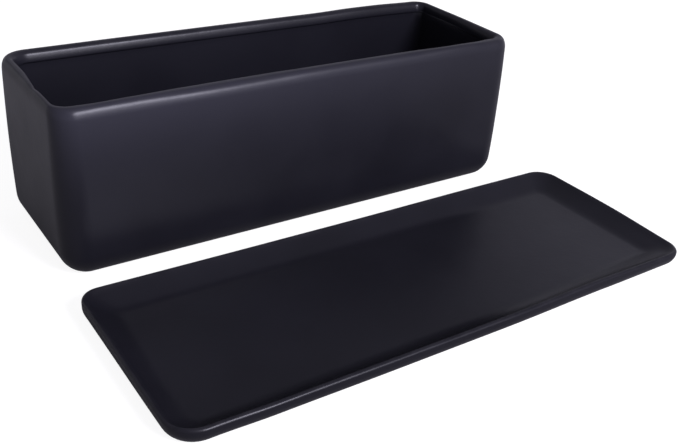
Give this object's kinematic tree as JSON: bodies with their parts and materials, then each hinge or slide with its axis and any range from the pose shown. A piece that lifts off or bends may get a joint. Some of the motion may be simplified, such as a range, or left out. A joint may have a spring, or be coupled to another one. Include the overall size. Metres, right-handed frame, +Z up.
{
  "type": "planter",
  "caption": "Long rectangular ceramic herb planter with a rolled rim and drain holes in its floor, and its loose shallow drip tray lying in front of it.",
  "frame": {"origin": "on the table, at the middle of the footprint that the pot and the tray cover together as they lie in the picture", "axes": "+X along the pot and the tray, +Y from the tray towards the pot, +Z up"},
  "size_m": [0.3306, 0.25, 0.1],
  "materials": {
    "pot_glaze": "satin black glaze over stoneware, bare clay on the foot ring",
    "tray_glaze": "satin black glaze over stoneware, bare clay on the foot ring"
  },
  "bodies": {
    "tray": {"drip_tray": "tray_glaze"},
    "pot": {"planter_pot": "pot_glaze"}
  },
  "joints": [
    {"name": "pot_carry", "type": "slide", "parent": "tray", "child": "pot", "axis": [0.0445, -0.7779, 0.6269], "range_m": [0, 0.1755]}
  ]
}
